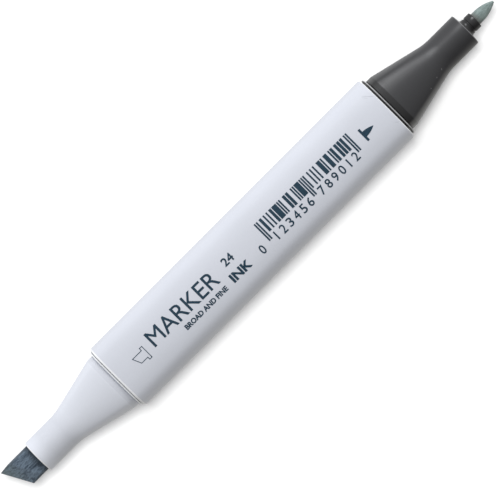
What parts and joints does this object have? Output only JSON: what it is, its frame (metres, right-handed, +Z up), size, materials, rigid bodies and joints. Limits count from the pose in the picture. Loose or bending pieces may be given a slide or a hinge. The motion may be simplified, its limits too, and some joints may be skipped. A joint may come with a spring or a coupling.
{
  "type": "felt tip marker",
  "caption": "Twin-tip felt marker with its caps off: square barrel, a broad slanted nib on one end and a fine pointed nib on the other, each in a flared collar.",
  "frame": {"origin": "on the surface the marker lies on, below the middle of its whole length", "axes": "+X along the marker towards its fine nib, +Z up out of the printed face, +Y across the barrel"},
  "size_m": [0.1322, 0.0152, 0.0152],
  "materials": {
    "barrel_plastic": "satin",
    "white_collar_plastic": "satin",
    "grey_collar_plastic": "satin",
    "holder_plastic": "gloss",
    "broad_nib_felt": "matte",
    "fine_nib_felt": "matte",
    "reservoir_fibre": "matte",
    "reservoir_film": "gloss",
    "print_ink": "matte"
  },
  "bodies": {
    "marker": {"barrel": "barrel_plastic", "broad_collar": "white_collar_plastic", "fine_collar": "grey_collar_plastic", "fine_nib_holder": "holder_plastic", "reservoir_core": "reservoir_fibre", "reservoir_film": "reservoir_film"},
    "broad_nib": {"broad_nib": "broad_nib_felt"},
    "fine_nib": {"fine_nib": "fine_nib_felt"}
  },
  "joints": [
    {"name": "broad_nib_pull", "type": "slide", "parent": "marker", "child": "broad_nib", "axis": [-1, 0, 0], "range_m": [0, 0.024]},
    {"name": "fine_nib_pull", "type": "slide", "parent": "marker", "child": "fine_nib", "axis": [1, 0, 0], "range_m": [0, 0.0265]}
  ]
}
